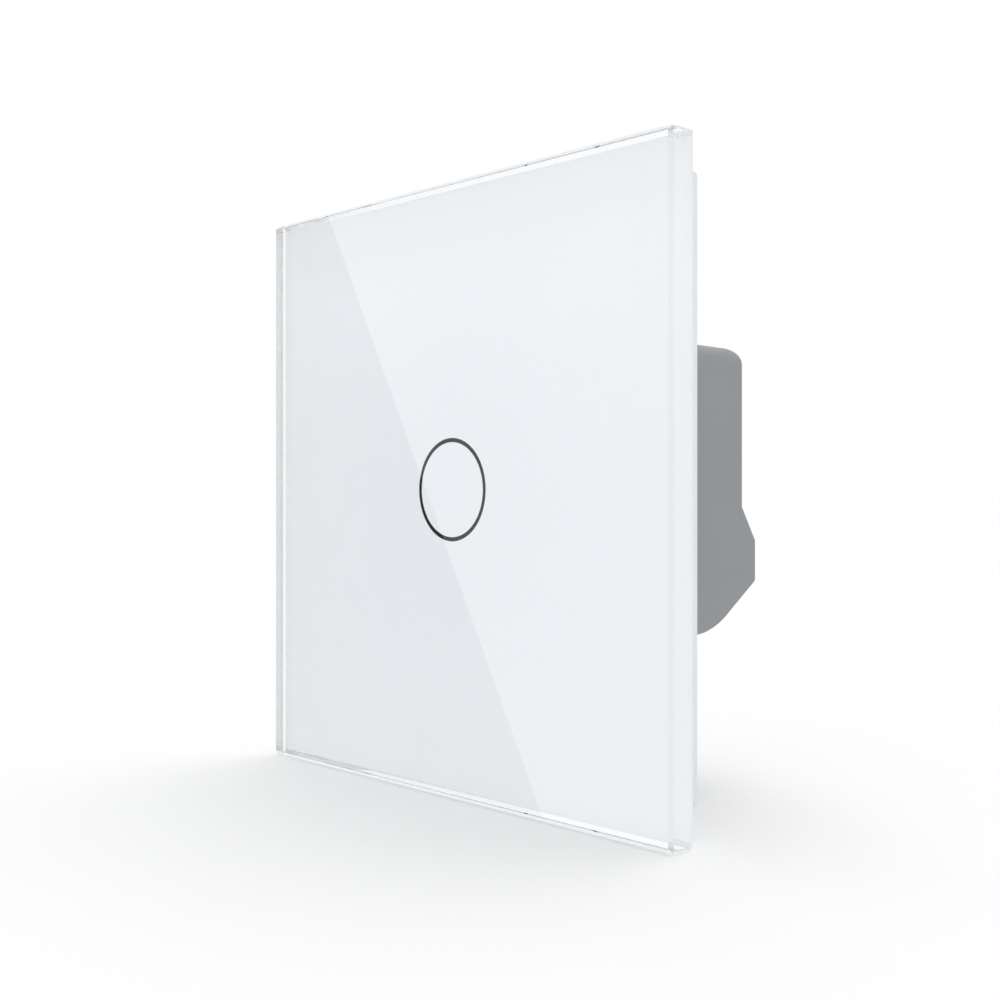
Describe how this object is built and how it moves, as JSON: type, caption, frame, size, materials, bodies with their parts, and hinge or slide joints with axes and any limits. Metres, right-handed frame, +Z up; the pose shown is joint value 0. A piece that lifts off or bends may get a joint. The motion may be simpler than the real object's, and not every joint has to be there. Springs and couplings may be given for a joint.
{
  "type": "touch light switch",
  "caption": "Square glass touch light switch for a round wall box: clip-on white glass panel with a touch ring, wall frame, grey rear housing with relay and screw terminals.",
  "frame": {"origin": "on the wall plane, midway between the two wall screws, behind the middle of the glass", "axes": "+X to the right seen from the room, +Y into the wall along the wall screws, +Z up"},
  "size_m": [0.08, 0.0351, 0.08],
  "materials": {
    "clear_glass": "polished, ground edges",
    "white_print": "white ceramic ink",
    "ring_ink": "smoked translucent ink",
    "tape": "foam adhesive tape",
    "white_plastic": "fine moulded texture",
    "milky_plastic": "milky translucent",
    "grey_plastic": "matt moulded flame-retardant plastic",
    "black_plastic": "matt moulded",
    "board": "green solder mask on glass fibre",
    "steel": "zinc plated",
    "brass": "bright",
    "spring_steel": "drawn wire",
    "copper_winding": "enamelled wire",
    "natural_plastic": "moulded",
    "yellow_plastic": "epoxy dipped",
    "blue_coating": "epoxy dipped",
    "can_sleeve": "sleeved can",
    "rubber_seal": "moulded",
    "ferrite": "sintered",
    "fuse_glass": "clear tube",
    "led_lens": "clear lens"
  },
  "bodies": {
    "root": {"mounting_frame": "white_plastic", "touch_cover": "white_plastic", "light_guide": "milky_plastic", "touch_spring": "spring_steel", "touch_board": "board", "indicator_leds": "led_lens", "touch_chips": "black_plastic", "header_strip": "black_plastic", "header_pins": "brass", "header_socket": "black_plastic", "rear_housing": "grey_plastic", "housing_screws": "steel", "power_board": "board", "board_screws": "steel", "relay_base": "black_plastic", "relay_pins": "steel", "relay_yoke": "steel", "relay_bobbin": "natural_plastic", "relay_coil": "copper_winding", "relay_fixed_contact": "brass", "relay_case": "black_plastic", "terminal_block": "black_plastic", "terminal_brasses": "brass", "film_capacitor": "yellow_plastic", "electrolytic_can": "can_sleeve", "can_seal": "rubber_seal", "varistor": "blue_coating", "transformer_core": "ferrite", "transformer_winding": "yellow_plastic", "fuse": "fuse_glass", "fuse_caps": "steel", "rectifier": "black_plastic"},
    "panel": {"glass_panel": "clear_glass", "backing_print": "white_print", "ring_window": "ring_ink", "adhesive_tape": "tape", "panel_carrier": "white_plastic", "snap_hooks": "white_plastic"},
    "armature": {"relay_armature": "steel", "relay_contact_spring": "brass"},
    "clamp_left": {"clamp_plate_left": "steel"},
    "screw_left": {"terminal_screw_left": "steel"},
    "clamp_middle": {"clamp_plate_middle": "steel"},
    "screw_middle": {"terminal_screw_middle": "steel"},
    "clamp_right": {"clamp_plate_right": "steel"},
    "screw_right": {"terminal_screw_right": "steel"}
  },
  "joints": [
    {"name": "panel_pull", "type": "slide", "parent": "root", "child": "panel", "axis": [0, -1, 0], "range_m": [0, 0.02], "deforming": ["snap_hooks"]},
    {"name": "armature_swing", "type": "hinge", "parent": "root", "child": "armature", "pos_m": [0.00575, 0.0129, 0.0074], "axis": [0, 0, 1], "range_deg": [0, 5], "stiffness_Nm_per_rad": 0.005, "springref_deg": -2.86},
    {"name": "clamp_left_slide", "type": "slide", "parent": "root", "child": "clamp_left", "axis": [0, -1, 0], "range_m": [0, 0.0024]},
    {"name": "screw_left_turn", "type": "hinge", "parent": "clamp_left", "child": "screw_left", "pos_m": [-0.0095, 0.0229, -0.0095], "axis": [0, -1, 0], "range_deg": [0, 1730]},
    {"name": "clamp_middle_slide", "type": "slide", "parent": "root", "child": "clamp_middle", "axis": [0, -1, 0], "range_m": [0, 0.0024]},
    {"name": "screw_middle_turn", "type": "hinge", "parent": "clamp_middle", "child": "screw_middle", "pos_m": [0, 0.0229, -0.0095], "axis": [0, -1, 0], "range_deg": [0, 1730]},
    {"name": "clamp_right_slide", "type": "slide", "parent": "root", "child": "clamp_right", "axis": [0, -1, 0], "range_m": [0, 0.0024]},
    {"name": "screw_right_turn", "type": "hinge", "parent": "clamp_right", "child": "screw_right", "pos_m": [0.0095, 0.0229, -0.0095], "axis": [0, -1, 0], "range_deg": [0, 1730]}
  ],
  "couplings": [
    {"joint": "screw_left_turn", "follows": "clamp_left_slide", "rad_per_m": 12566},
    {"joint": "screw_middle_turn", "follows": "clamp_middle_slide", "rad_per_m": 12566},
    {"joint": "screw_right_turn", "follows": "clamp_right_slide", "rad_per_m": 12566}
  ]
}
